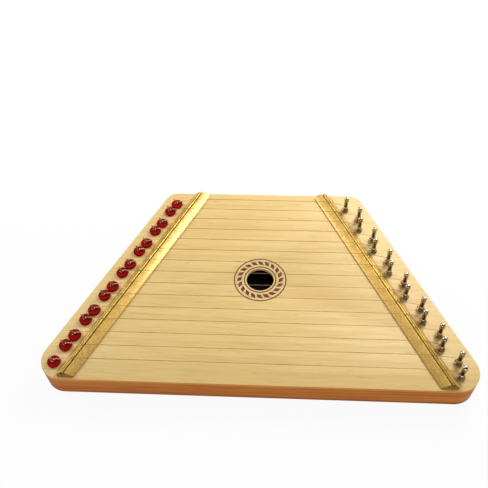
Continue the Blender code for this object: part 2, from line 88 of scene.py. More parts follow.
# Bridge section, square to the side edge
BRIDGE_SINK = 0.15 * MM
RIDGE_HEIGHT = 5.0 * MM
EDGE_HEIGHT = 1.2 * MM
RIDGE_WIDTH = 5.0 * MM
INNER_FOOT = 11.6 * MM
OUTER_FOOT = 7.3 * MM
ROD_INSETS = {-1: 35.7 * MM, 1: 38.5 * MM}
ROD_SPLAY = 0.0065
ROD_RADIUS = 1.2 * MM
ROD_STAND_OUT = 1.0 * MM
ROD_SEAT_GAP = 0.3 * MM
GROOVE_RADIUS = 2.1 * MM
GROOVE_LIP = 0.5 * MM
FRONT_END_SLOPE = 0.5
BRIDGE_CORNER_RADIUS = 4.0 * MM
BRIDGE_EDGE_ROUND = 0.25 * MM
ROD_EDGE_ROUND = 0.2 * MM
# A bridge's corner is cut along every fourth point of its fine arc
CORNER_CUT_STRIDE = 4

# Strings, hitch pins and tuning pins; margins are measured in from the back and the front edge
STRING_BACK_MARGIN = 15.8 * MM
STRING_FRONT_MARGIN = 20.55 * MM
STRING_PITCH = (BODY_DEPTH - STRING_BACK_MARGIN - STRING_FRONT_MARGIN) / (STRINGS - 1)
STRING_SKEW = 0.3 * MM
SEAT_GAP = 0.3 * MM
HITCH_RADIUS = 1.0 * MM
HITCH_DEPTH = 3.0 * MM
HITCH_LEAN = math.radians(14)
HITCH_ROW_INSETS = (18.2 * MM, 17.0 * MM)
HITCH_BACK_MARGIN = 20.7 * MM
HITCH_FRONT_MARGIN = 18.6 * MM
HITCH_PAIR_PITCH = (BODY_DEPTH - HITCH_BACK_MARGIN - HITCH_FRONT_MARGIN) / (STRINGS // 2)
HITCH_PAIR_SPACING = 12.6 * MM
LOOP_RISE = 1.2 * MM
TWIST_START = 2.6 * MM
TWIST_PITCH = 0.8 * MM
TWIST_TURNS = 6
TWIST_RADIUS = 0.56 * MM
TWIST_CLEARANCE = 9.0 * MM
WINDING_REACH = 4.6 * MM
PIN_RADIUS = 2.5 * MM
PIN_TURN_STEP = math.radians(37)
# Course of a winding: turns made, distance out from the innermost layer, height above the board
WINDING_COURSE = (
    (0.0, 0.0, 4.3 * MM),
    (4.25, 0.0, 0.85 * MM),
    (4.5, 0.58 * MM, 1.2 * MM),
    (7.25, 0.58 * MM, 3.4 * MM),
    (7.5, 1.16 * MM, 3.1 * MM),
    (9.75, 1.16 * MM, 1.0 * MM),
)

# Printed rosette: each line has its inner and its outer radius
PAINT_THICKNESS = 0.06 * MM
LEAF_SLANT = math.radians(52)
LEAF_SIDES = 8
LEAF_PINCH = 1.25
ROSETTE_LINES = {
    "rosette_inner_line": (17.3 * MM, 18.6 * MM),
    "rosette_outer_line": (28.8 * MM, 30.1 * MM),
}

# How flat or how upright a face's normal is when it counts as a side, an end, a low edge or a level face
SIDE_FACE_LIMIT = 0.75
END_FACE_LIMIT = 0.6
LOW_EDGE_LIMIT = 0.5
LEVEL_FACE_LIMIT = 0.9
SURFACE_TOLERANCE = 0.1 * MM

# Places of the later materials in an object's list
INSIDE_PAINTED_SHADE = 2
GROOVE_PAINTED_SHADE = 2
EDGE_PAINTED_SHADE = 3
TWIST_PAINTED_HIGHLIGHT = 2

# Camera, in metres and radians
CAMERA_PLACE = (0.01407, -0.41905, 0.59231)
CAMERA_YAW = math.radians(4.26)
CAMERA_PITCH = math.radians(90 - 50.11)
CAMERA_ROLL = math.radians(-2.05)
SENSOR_WIDTH = 36.0
NEAR_CLIP = 0.01

# Lamps: name, place and target in metres, diameter in metres, power in watts
LAMPS = (
    ("right_window", (0.47, 0.6, 0.62), (0.0, 0.1, 0.02), 0.58, 8.5),
    ("left_window", (-0.8, 0.44, 0.58), (0.0, 0.1, 0.02), 0.8, 4.9),
    ("front_fill", (0.0, -1.2, 0.3), (0.0, 0.0, 0.0), 0.9, 5.1),
)

# Corners of a square seen from above, anticlockwise
SQUARE = ((-1, -1), (1, -1), (1, 1), (-1, 1))

# Dark card, room and floor, in metres; the floor's other light comes from the lamps and keeps the shadow
CARD_PLACE = (0.0, -1.42, 0.9)
CARD_WIDTH = 4.4
CARD_DEPTH = 2.36
ROOM_STRENGTH = 0.24
FLOOR_WHITE_SHARE = 0.93
FLOOR_REACH = 6.0
FLOOR_DROP = 0.2 * MM


class HarpSizes(bpy.types.PropertyGroup):
    """Sizes that a user would change, in millimetres unless they say otherwise."""

    string_diameter: FloatProperty(name="String", description="String diameter, mm", default=0.5)
    edge_round: FloatProperty(name="Edge rounding", description="Rounding of board edges, mm", default=0.7)
    hole_radius: FloatProperty(name="Sound hole", description="Sound hole radius, mm", default=15.6)
    hole_y: FloatProperty(name="Sound hole Y", description="Sound hole centre along Y, mm", default=-1.2)
    leaf_count: IntProperty(name="Leaves", description="Leaves in the rosette", default=20)
    leaf_ring: FloatProperty(name="Leaf ring", description="Radius of the ring of leaves, mm", default=23.6)
    leaf_length: FloatProperty(name="Leaf length", description="Length of a leaf, mm", default=9.4)
    leaf_width: FloatProperty(name="Leaf width", description="Width of a leaf, mm", default=4.0)
    felt_radius: FloatProperty(name="Felt washer", description="Felt washer radius, mm", default=7.0)
    felt_thickness: FloatProperty(name="Felt thickness", description="Felt washer thickness, mm", default=3.0)
    pin_height: FloatProperty(name="Tuning pin", description="Tuning pin above the board, mm", default=22.3)
    hitch_height: FloatProperty(name="Hitch pin", description="Hitch pin above the board, mm", default=12.8)
    lens: FloatProperty(name="Lens", description="Focal length of the view, mm", default=45.16)


def colour_property(name, description, red, green, blue):
    """A colour picker whose default is given in sRGB bytes."""
    return FloatVectorProperty(
        name=name,
        description=description,
        subtype="COLOR_GAMMA",
        size=3,
        min=0.0,
        max=1.0,
        default=(red / 255, green / 255, blue / 255),
    )


class HarpColours(bpy.types.PropertyGroup):
    """Main colours of the finishes, as sRGB."""

    board_pale: colour_property("Board pale", "Pale wood of the soundboard", 0xEA, 0xCC, 0x86)
    board_dark: colour_property("Board grain", "Darker grain of the soundboard", 0xDC, 0xB9, 0x74)
    stain: colour_property("Side stain", "Orange-brown stain of the sides", 0xCB, 0x78, 0x18)
    gold: colour_property("Bridge lacquer", "Golden lacquer of the bridges", 0xD6, 0xAA, 0x4C)
    felt: colour_property("Felt", "Red wool felt", 0xA8, 0x08, 0x04)
    paint: colour_property("Rosette paint", "Maroon paint of the rosette", 0x55, 0x12, 0x0B)


def linear(colour):
    """An sRGB hex string or colour turned into linear RGBA."""
    if isinstance(colour, str):
        colour = [int(colour[start:start + 2], 16) / 255 for start in (0, 2, 4)]
    channels = [c / 12.92 if c <= 0.04045 else ((c + 0.055) / 1.055) ** 2.4 for c in colour]
    return (*channels, 1.0)


def add_node(tree, kind, inputs=None, **settings):
    """Add a node, set its properties, and set or link its inputs."""
    made = tree.nodes.new(kind)
    for name, value in settings.items():
        setattr(made, name, value)
    for name, value in (inputs or {}).items():
        if isinstance(value, bpy.types.NodeSocket):
            tree.links.new(value, made.inputs[name])
        else:
            made.inputs[name].default_value = value
    return made


def new_material(name):
    """An empty node material with its tree, its shader and its object coordinates."""
    made = bpy.data.materials.new(name)
    made.use_nodes = True
    tree = made.node_tree
    shader = tree.nodes["Principled BSDF"]
    coordinates = add_node(tree, "ShaderNodeTexCoord").outputs["Object"]
    return made, tree, shader, coordinates


def stretched_noise(tree, coordinates, per_metre, detail=3.0, roughness=0.55, distortion=0.0):
    """Noise with its own number of features in a metre along each axis."""
    scaled = add_node(tree, "ShaderNodeMapping", {"Vector": coordinates, "Scale": per_metre})
    inputs = {
        "Vector": scaled.outputs["Vector"],
        "Scale": 1.0,
        "Detail": detail,
        "Roughness": roughness,
        "Distortion": distortion,
    }
    return add_node(tree, "ShaderNodeTexNoise", inputs).outputs["Fac"]


def remap(tree, value, low, high, to_low=0.0, to_high=1.0):
    """A value rescaled from one range to another and held inside it."""
    inputs = {"Value": value, "From Min": low, "From Max": high, "To Min": to_low, "To Max": to_high}
    return add_node(tree, "ShaderNodeMapRange", inputs).outputs["Result"]


def blend_colours(tree, factor, first, second, kind="MIX"):
    """A mix of two colours or sockets."""
    made = add_node(tree, "ShaderNodeMix", data_type="RGBA", blend_type=kind)
    for socket, value in ((made.inputs[0], factor), (made.inputs[6], first), (made.inputs[7], second)):
        if isinstance(value, bpy.types.NodeSocket):
            tree.links.new(value, socket)
        else:
            socket.default_value = value
    return made.outputs[2]


def bump(tree, shader, height, distance, strength=1.0):
    """Relief on a shader from a height in metres times distance."""
    inputs = {"Height": height, "Distance": distance, "Strength": strength}
    made = add_node(tree, "ShaderNodeBump", inputs)
    tree.links.new(made.outputs["Normal"], shader.inputs["Normal"])


def soundboard_wood(colours):
    """Birch-faced board under satin lacquer: fine straight grain along X and a few short flecks."""
    made, tree, shader, place = new_material("satin_birch_board")
    wander = stretched_noise(tree, place, (5.0, 14.0, 5.0), 2.0)
    lift = add_node(tree, "ShaderNodeVectorMath", {0: (0.0, 0.012, 0.0)}, operation="SCALE")
    tree.links.new(wander, lift.inputs["Scale"])
    bent = add_node(tree, "ShaderNodeVectorMath", {0: place, 1: lift.outputs[0]}, operation="ADD").outputs[0]
    bands = stretched_noise(tree, bent, (3.0, 130.0, 20.0), 4.0, 0.62)
    # Real fibres are finer than a pixel of the view, so they are drawn about 1.6 mm apart
    fibres = stretched_noise(tree, bent, (22.0, 620.0, 200.0), 3.0, 0.65)
    patches = stretched_noise(tree, place, (9.0, 22.0, 9.0), 3.0)
    flecks = stretched_noise(tree, bent, (55.0, 700.0, 50.0), 1.0, 0.4)
    grain = remap(tree, bands, 0.34, 0.70, 0.0, 0.5)
    wood = blend_colours(tree, grain, linear(colours.board_pale), linear(colours.board_dark))
    fine = remap(tree, fibres, 0.42, 0.7, 0.0, 0.5)
    wood = blend_colours(tree, fine, wood, linear("CDA45E"))
    warm = remap(tree, patches, 0.42, 0.72, 0.0, 0.25)
    wood = blend_colours(tree, warm, wood, linear("E8BE7C"))
    mark = remap(tree, flecks, 0.72, 0.79, 0.0, 0.4)
    wood = blend_colours(tree, mark, wood, linear("A07236"))
    tree.links.new(wood, shader.inputs["Base Color"])
    tree.links.new(remap(tree, fibres, 0.3, 0.7, 0.42, 0.54), shader.inputs["Roughness"])
    shader.inputs["Specular IOR Level"].default_value = 0.35
    bump(tree, shader, fibres, 0.00008, 0.5)
    return made


def stained_wood(colours):
    """Beech under orange-brown stain: long darker streaks, and painted shade that darkens it towards the
    foot.
    """
    made, tree, shader, place = new_material("stained_beech")
    streaks = stretched_noise(tree, place, (7.0, 7.0, 320.0), 4.0, 0.6, 0.3)
    clouds = stretched_noise(tree, place, (16.0, 16.0, 60.0), 3.0)
    fibres = stretched_noise(tree, place, (40.0, 40.0, 1600.0), 2.0)
    wood = blend_colours(tree, remap(tree, streaks, 0.36, 0.68), linear(colours.stain), linear("A04E08"))
    wood = blend_colours(tree, remap(tree, clouds, 0.45, 0.75, 0.0, 0.5), wood, linear("D08A2E"))
    wood = blend_colours(tree, remap(tree, fibres, 0.5, 0.8, 0.0, 0.35), wood, linear("7E380A"))
    height = add_node(tree, "ShaderNodeSeparateXYZ", {0: place}).outputs["Z"]
    # Painted shade: darker towards the bottom edge, where the contact shadow falls
    foot = remap(tree, height, 7.0 * MM, 0.5 * MM, 0.0, 0.45)
    wood = blend_colours(tree, foot, wood, linear("7A3208"))
    brow = remap(tree, height, TOP - 3.6 * MM, TOP - 3.2 * MM, 0.0, 0.55)
    wood = blend_colours(tree, brow, wood, linear("DC9A48"))
    tree.links.new(wood, shader.inputs["Base Color"])
    tree.links.new(remap(tree, streaks, 0.3, 0.7, 0.42, 0.52), shader.inputs["Roughness"])
    shader.inputs["Specular IOR Level"].default_value = 0.12
    bump(tree, shader, fibres, 0.00006, 0.4)
    return made


def plain_wood(name, pale, dark, roughness):
    """Plain wood in two tones with grain along X: back board and braces, and the dark tones that paint shade
    into the inside of the box, the bridge grooves and the bridge edges.
    """
    made, tree, shader, place = new_material(name)
    bands = stretched_noise(tree, place, (4.0, 160.0, 160.0), 4.0, 0.6)
    fibres = stretched_noise(tree, place, (30.0, 1300.0, 1300.0), 2.0)
    wood = blend_colours(tree, remap(tree, bands, 0.35, 0.7), linear(pale), linear(dark))
    wood = blend_colours(tree, remap(tree, fibres, 0.5, 0.8, 0.0, 0.25), wood, linear(dark))
    tree.links.new(wood, shader.inputs["Base Color"])
    shader.inputs["Roughness"].default_value = roughness
    bump(tree, shader, fibres, 0.00008, 0.5)
    return made


def gold_lacquer(colours):
    """Wooden bridge under golden lacquer: pearly, with mottles, light streaks painted as highlights, and a
    fine crinkle painted as shade in its hollows and highlight on its crests.
    """
    made, tree, shader, place = new_material("gold_lacquered_maple")
    mottle = stretched_noise(tree, place, (300.0, 300.0, 300.0), 4.0, 0.7)
    streak_noise = stretched_noise(tree, place, (420.0, 140.0, 420.0), 3.0, 0.6)
    crinkle = stretched_noise(tree, place, (500.0, 1100.0, 700.0), 2.0, 0.6)
    spots = remap(tree, mottle, 0.4, 0.75, 0.0, 0.7)
    gold = blend_colours(tree, spots, linear(colours.gold), linear("B88832"))
    # Painted highlight: light streaks that stand in for glints on the lacquer
    painted_highlight_streaks = remap(tree, streak_noise, 0.5, 0.72, 0.0, 0.6)
    gold = blend_colours(tree, painted_highlight_streaks, gold, linear("E2C484"))
    # Painted shade and highlight: the crinkle is not in the relief, it only darkens its hollows and lightens
    # its crests
    painted_shade_hollows = remap(tree, crinkle, 0.52, 0.68, 0.0, 0.45)
    gold = blend_colours(tree, painted_shade_hollows, gold, linear("9A7018"))
    painted_highlight_crests = remap(tree, crinkle, 0.48, 0.32, 0.0, 0.35)
    gold = blend_colours(tree, painted_highlight_crests, gold, linear("F0CE78"))
    tree.links.new(gold, shader.inputs["Base Color"])
    tree.links.new(remap(tree, mottle, 0.3, 0.7, 0.34, 0.48), shader.inputs["Roughness"])
    shader.inputs["Metallic"].default_value = 0.6
    shader.inputs["Coat Weight"].default_value = 0.5
    shader.inputs["Coat Roughness"].default_value = 0.3
    bump(tree, shader, mottle, 0.00012, 0.4)
    return made


def bridge_end_grain():
    """Sawn end grain of the bridges, in a darker brown than their lacquer."""
    made, tree, shader, place = new_material("soaked_end_grain")
    pores = stretched_noise(tree, place, (900.0, 900.0, 900.0), 3.0, 0.7)
    wood = blend_colours(tree, remap(tree, pores, 0.4, 0.7), linear("A87C3A"), linear("6E4C1A"))
    tree.links.new(wood, shader.inputs["Base Color"])
    shader.inputs["Roughness"].default_value = 0.6
    shader.inputs["Specular IOR Level"].default_value = 0.15
    bump(tree, shader, pores, 0.0002, 0.6)
    return made


def metal(name, base, dull, roughness, scratch_scale):
    """Worked metal: an even colour with drawn lines and a slightly dull bloom."""
    made, tree, shader, place = new_material(name)
    bloom = stretched_noise(tree, place, (300.0, 300.0, 300.0), 3.0, 0.6)
    lines = stretched_noise(tree, place, scratch_scale, 2.0, 0.5)
    colour = blend_colours(tree, remap(tree, bloom, 0.35, 0.75), linear(base), linear(dull))
    tree.links.new(colour, shader.inputs["Base Color"])
    shader.inputs["Metallic"].default_value = 1.0
    tree.links.new(remap(tree, lines, 0.3, 0.7, roughness, roughness + 0.12), shader.inputs["Roughness"])
    bump(tree, shader, lines, 0.00002, 0.3)
    return made


def red_felt(colours):
    """Pressed wool felt: matted fibres about 0.3 mm apart, with a soft sheen."""
    made, tree, shader, place = new_material("red_wool_felt")
    fibres = stretched_noise(tree, place, (2600.0, 2600.0, 2600.0), 4.0, 0.7, 0.6)
    clumps = stretched_noise(tree, place, (520.0, 520.0, 520.0), 3.0, 0.6)
    wool = blend_colours(tree, remap(tree, fibres, 0.35, 0.7), linear(colours.felt), linear("780402"))
    wool = blend_colours(tree, remap(tree, clumps, 0.5, 0.8, 0.0, 0.4), wool, linear("C0180C"))
    tree.links.new(wool, shader.inputs["Base Color"])
    shader.inputs["Roughness"].default_value = 0.95
    shader.inputs["Sheen Weight"].default_value = 0.12
    shader.inputs["Sheen Roughness"].default_value = 0.5
    shader.inputs["Sheen Tint"].default_value = linear("FF5A40")
    shader.inputs["Specular IOR Level"].default_value = 0.1
    bump(tree, shader, fibres, 0.00035, 0.9)
    return made


def maroon_paint(colours):
    """Screen-printed maroon paint, matt and a little uneven in cover."""
    made, tree, shader, place = new_material("maroon_print")
    cover = stretched_noise(tree, place, (500.0, 500.0, 500.0), 3.0, 0.6)
    thin = remap(tree, cover, 0.45, 0.8, 0.0, 0.5)
    paint = blend_colours(tree, thin, linear(colours.paint), linear("6B2418"))
    tree.links.new(paint, shader.inputs["Base Color"])
    shader.inputs["Roughness"].default_value = 0.55
    return made


def white_floor():
    """Seamless white paper that shows white to the camera and keeps the shadow."""
    made = bpy.data.materials.new("white_paper_floor")
    made.use_nodes = True
    tree = made.node_tree
    tree.nodes.clear()
    path = add_node(tree, "ShaderNodeLightPath")
    seen = add_node(
        tree, "ShaderNodeMath",
        {0: path.outputs["Is Camera Ray"], 1: path.outputs["Is Glossy Ray"]}, operation="MAXIMUM")
    seen = add_node(
        tree, "ShaderNodeMath",
        {0: seen.outputs[0], 1: path.outputs["Is Transmission Ray"]}, operation="MAXIMUM")
    share = add_node(tree, "ShaderNodeMath", {0: seen.outputs[0], 1: FLOOR_WHITE_SHARE}, operation="MULTIPLY")
    paper = add_node(tree, "ShaderNodeBsdfDiffuse", {"Color": (0.9, 0.9, 0.9, 1.0)})
    glow = add_node(tree, "ShaderNodeEmission", {"Color": (1.0, 1.0, 1.0, 1.0), "Strength": 1.0})
    both = add_node(tree, "ShaderNodeMixShader", {0: share.outputs[0]})
    tree.links.new(paper.outputs[0], both.inputs[1])
    tree.links.new(glow.outputs[0], both.inputs[2])
    output = add_node(tree, "ShaderNodeOutputMaterial")
    tree.links.new(both.outputs[0], output.inputs["Surface"])
    return made


def half_width(y):
    """Half the width of the unrounded outline at y."""
    return BACK_EDGE / 2 + SIDE_SLOPE * (BACK_Y - y)


def inside_edge(y, inset, side):
    """The point at y that lies inset from a side edge; side is -1 left or 1 right."""
    return Vector((side * (half_width(y) - inset / math.cos(SIDE_ANGLE)), y))


def rod_place(y, side):
    """The middle of a bridge rod at y; towards the front the rods splay out a little."""
    return inside_edge(y, ROD_INSETS[side] + ROD_SPLAY * y, side)


def rounded_corner(before, corner, after, radius):
    """The arc that rounds one corner of an outline that runs anticlockwise."""
    back = (before - corner).normalized()
    on = (after - corner).normalized()
    half_angle = back.angle(on) / 2
    centre = corner + (back + on).normalized() * radius / math.sin(half_angle)
    spoke = corner + back * radius / math.tan(half_angle) - centre
    sweep = math.pi - 2 * half_angle
    steps = round(sweep / FINE_STEP)
    return [centre + Matrix.Rotation(sweep * step / steps, 2) @ spoke for step in range(steps + 1)]


def body_outline():
    """The rounded trapezoid of the box, anticlockwise from the front left corner."""
    corners = [
        (Vector((-half_width(FRONT_Y), FRONT_Y)), FRONT_CORNER_RADIUS),
        (Vector((half_width(FRONT_Y), FRONT_Y)), FRONT_CORNER_RADIUS),
        (Vector((half_width(BACK_Y), BACK_Y)), BACK_CORNER_RADIUS),
        (Vector((-half_width(BACK_Y), BACK_Y)), BACK_CORNER_RADIUS),
    ]
    outline = []
    for index, (corner, radius) in enumerate(corners):
        before = corners[index - 1][0]
        after = corners[(index + 1) % len(corners)][0]
        outline += rounded_corner(before, corner, after, radius)
    return outline


def clipped(outline, point, normal):
    """The part of a convex outline on the side of a line that the normal points to."""
    kept = []
    for start, end in zip(outline, outline[1:] + outline[:1]):
        start_side = (start - point).dot(normal)
        end_side = (end - point).dot(normal)
        if start_side >= 0:
            kept.append(start)
        if start_side * end_side < 0:
            kept.append(start.lerp(end, start_side / (start_side - end_side)))
    return kept


def baked(made):
    """Turn an object's evaluated shape into its own plain mesh."""
    bpy.context.view_layer.update()
    depsgraph = bpy.context.evaluated_depsgraph_get()
    mesh = bpy.data.meshes.new_from_object(made.evaluated_get(depsgraph))
    name = made.name
    place = made.matrix_world.copy()
    bpy.data.objects.remove(made)
    mesh.transform(place)
    mesh.name = name
    plain = bpy.data.objects.new(name, mesh)
    bpy.context.scene.collection.objects.link(plain)
    return plain


def linked(name, data):
    """A new object in the scene."""
    made = bpy.data.objects.new(name, data)
    bpy.context.scene.collection.objects.link(made)
    return made


def welded(made, distance=0.005 * MM):
    """Merge an object's doubled points and point its faces outwards."""
    shape = bmesh.new()
    shape.from_mesh(made.data)
    bmesh.ops.remove_doubles(shape, verts=shape.verts, dist=distance)
    bmesh.ops.recalc_face_normals(shape, faces=shape.faces)
    shape.to_mesh(made.data)
    shape.free()
    return made


def softened(made, width, segments=2, angle=math.radians(35)):
    """Round an object's hard edges and shade it."""
    if width:
        bevel = made.modifiers.new("edge rounding", "BEVEL")
        bevel.width = width
        bevel.segments = segments
        bevel.limit_method = "ANGLE"
        bevel.angle_limit = angle
        bevel.harden_normals = False
        made = baked(made)
    made.data.shade_smooth()
    sharp = math.radians(50)
    made.data.set_sharp_from_angle(angle=sharp)
    return made


def flat_solid(name, outlines, bottom, top):
    """A flat outline, with any holes, as a closed solid between two heights."""
    curve = bpy.data.curves.new(name, "CURVE")
    curve.dimensions = "2D"
    curve.fill_mode = "BOTH"
    curve.extrude = (top - bottom) / 2
    for outline in outlines:
        spline = curve.splines.new("POLY")
        spline.points.add(len(outline) - 1)
        for point, place in zip(spline.points, outline):
            point.co = (place[0], place[1], 0, 1)
        spline.use_cyclic_u = True
    made = linked(name, curve)
    made.location.z = (bottom + top) / 2
    return welded(baked(made))


def circle(centre, radius, steps=96):
    """Points round a circle."""
    turns = [math.tau * step / steps for step in range(steps)]
    return [(centre[0] + radius * math.cos(t), centre[1] + radius * math.sin(t)) for t in turns]


def turned(name, profile, steps, closed=False):
    """A profile, listed down its outer side, turned round Z."""
    edges = [(index, index + 1) for index in range(len(profile) - 1)]
    if closed:
        edges.append((len(profile) - 1, 0))
    mesh = bpy.data.meshes.new(name)
    mesh.from_pydata([(radius, 0, height) for radius, height in profile], edges, [])
    made = linked(name, mesh)
    screw = made.modifiers.new("turned", "SCREW")
    screw.steps = steps
    screw.render_steps = steps
    screw.use_merge_vertices = True
    screw.merge_threshold = 0.000005
    return welded(baked(made))


def tube(name, points, diameter, sides_level):
    """A round wire or rod through the points, with closed ends, as a mesh."""
    curve = bpy.data.curves.new(name, "CURVE")
    curve.dimensions = "3D"
    curve.bevel_depth = diameter / 2
    curve.bevel_resolution = sides_level
    curve.use_fill_caps = True
    spline = curve.splines.new("POLY")
    spline.points.add(len(points) - 1)
    for point, place in zip(spline.points, points):
        point.co = (*place, 1)
    return welded(baked(linked(name, curve)))


def painted(made, main, other=None, is_other=None):
    """Give an object its material, and a second one on the faces that a test picks."""
    made.data.materials.clear()
    made.data.materials.append(main)
    if other:
        made.data.materials.append(other)
    for face in made.data.polygons:
        face.material_index = 1 if other and is_other(face) else 0
    return made


def is_side(face):
    """Whether a face looks sideways rather than up or down."""
    return abs(face.normal.z) < SIDE_FACE_LIMIT


def geometry_tree(name, inputs):
    """A Geometry Nodes tree with named inputs; returns the tree, its input node and its output node."""
    tree = bpy.data.node_groups.new(name, "GeometryNodeTree")
    tree.interface.new_socket("Geometry", in_out="INPUT", socket_type="NodeSocketGeometry")
    tree.interface.new_socket("Geometry", in_out="OUTPUT", socket_type="NodeSocketGeometry")
    for label, kind in inputs:
        tree.interface.new_socket(label, in_out="INPUT", socket_type=kind)
    return tree, add_node(tree, "NodeGroupInput"), add_node(tree, "NodeGroupOutput")


def finish_tree(tree, given, out, instances):
    """End a tree in Realize Instances and Set Material."""
    real = add_node(tree, "GeometryNodeRealizeInstances", {"Geometry": instances})
    finished = add_node(
        tree, "GeometryNodeSetMaterial",
        {"Geometry": real.outputs["Geometry"], "Material": given.outputs["Finish"]})
    tree.links.new(finished.outputs["Geometry"], out.inputs["Geometry"])


def run_tree(made, tree, values):
    """Put a tree on an object, set its inputs by identifier, and bake it to a plain mesh."""
    modifier = made.modifiers.new(tree.name, "NODES")
    modifier.node_group = tree
    for item in tree.interface.items_tree:
        if item.item_type == "SOCKET" and item.in_out == "INPUT" and item.name in values:
            modifier[item.identifier] = values[item.name]
    return baked(made)


def scatter_tree(name):
    """A tree that sets a template on each point, with a lean and a seeded turn."""
    tree, given, out = geometry_tree(name, (
        ("Template", "NodeSocketObject"),
        ("Lean", "NodeSocketFloat"),
        ("Turn", "NodeSocketFloat"),
        ("Seed", "NodeSocketInt"),
        ("Finish", "NodeSocketMaterial"),
    ))
    template = add_node(tree, "GeometryNodeObjectInfo", {"Object": given.outputs["Template"]})
    spin = add_node(
        tree, "FunctionNodeRandomValue",
        {"Max": given.outputs["Turn"], "Seed": given.outputs["Seed"]}, data_type="FLOAT")
    turn = add_node(
        tree, "ShaderNodeCombineXYZ", {"Y": given.outputs["Lean"], "Z": spin.outputs[1]})
    placed = add_node(
        tree, "GeometryNodeInstanceOnPoints",
        {
            "Points": given.outputs["Geometry"],
            "Instance": template.outputs["Geometry"],
            "Rotation": turn.outputs[0],
        })
    finish_tree(tree, given, out, placed.outputs["Instances"])
    return tree


def leaf_tree():
    """A tree that sets slanted leaves round a ring."""
    tree, given, out = geometry_tree("rosette_leaves", (
        ("Count", "NodeSocketInt"),
        ("Ring Radius", "NodeSocketFloat"),
        ("Leaf Length", "NodeSocketFloat"),
        ("Leaf Width", "NodeSocketFloat"),
        ("Thickness", "NodeSocketFloat"),
        ("Slant", "NodeSocketFloat"),
        ("Finish", "NodeSocketMaterial"),
    ))
    ring = add_node(
        tree, "GeometryNodeMeshCircle",
        {"Vertices": given.outputs["Count"], "Radius": given.outputs["Ring Radius"]})
    leaf = add_node(tree, "GeometryNodeMeshCylinder", {"Vertices": LEAF_SIDES, "Radius": 1.0, "Depth": 1.0})
    pinch = add_node(tree, "GeometryNodeInputPosition")
    apart = add_node(tree, "ShaderNodeSeparateXYZ", {0: pinch.outputs[0]})
    along = add_node(tree, "ShaderNodeMath", {0: apart.outputs["X"]}, operation="ABSOLUTE")
    narrow = add_node(tree, "ShaderNodeMath", {0: LEAF_PINCH, 1: along.outputs[0]}, operation="SUBTRACT")
    across = add_node(
        tree, "ShaderNodeMath", {0: apart.outputs["Y"], 1: narrow.outputs[0]}, operation="MULTIPLY")
    shaped = add_node(
        tree, "ShaderNodeCombineXYZ",
        {"X": apart.outputs["X"], "Y": across.outputs[0], "Z": apart.outputs["Z"]})
    pointed = add_node(
        tree, "GeometryNodeSetPosition",
        {"Geometry": leaf.outputs["Mesh"], "Position": shaped.outputs[0]})
    index = add_node(tree, "GeometryNodeInputIndex")
    step = add_node(
        tree, "ShaderNodeMath", {0: math.tau, 1: given.outputs["Count"]}, operation="DIVIDE")
    turn = add_node(
        tree, "ShaderNodeMath",
        {0: index.outputs[0], 1: step.outputs[0], 2: given.outputs["Slant"]}, operation="MULTIPLY_ADD")
    rotation = add_node(tree, "ShaderNodeCombineXYZ", {"Z": turn.outputs[0]})
    size = add_node(
        tree, "ShaderNodeCombineXYZ",
        {
            "X": given.outputs["Leaf Length"],
            "Y": given.outputs["Leaf Width"],
            "Z": given.outputs["Thickness"],
        })
    placed = add_node(
        tree, "GeometryNodeInstanceOnPoints",
        {
            "Points": ring.outputs["Mesh"],
            "Instance": pointed.outputs["Geometry"],
            "Rotation": rotation.outputs[0],
            "Scale": size.outputs[0],
        })
    finish_tree(tree, given, out, placed.outputs["Instances"])
    return tree


def ridden(made, slot, *nodes, body=BODY):
    """Make a piece ride its body and hide the frame nodes it stands for; the slot is not used."""
    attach(made, body)
    if nodes:
        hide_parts(*nodes)
    return made


def hitch_place(index):
    """Where a hitch pin enters the soundboard."""
    pair, second = divmod(index, 2)
    y = BACK_Y - HITCH_BACK_MARGIN - HITCH_PAIR_PITCH * pair - HITCH_PAIR_SPACING * second
    return inside_edge(y, HITCH_ROW_INSETS[second], -1)


def hitch_axis_at(index, z):
    """Where the leaning axis of a hitch pin is at a height."""
    return hitch_place(index) - Vector(((z - TOP) * math.tan(HITCH_LEAN), 0))


def pin_place(index):
    """Where a tuning pin's axis crosses the soundboard, read from its joint."""
    joint = frame["joints"][index]
    return Vector(joint["pos_m"][:2])


class HarpOperator(bpy.types.Operator):
    """Shared settings of the harp's operators."""

    bl_options = {"REGISTER", "UNDO"}

    @property
    def sizes(self):
        return bpy.context.scene.harp_sizes

    @property
    def colours(self):
        return bpy.context.scene.harp_colours


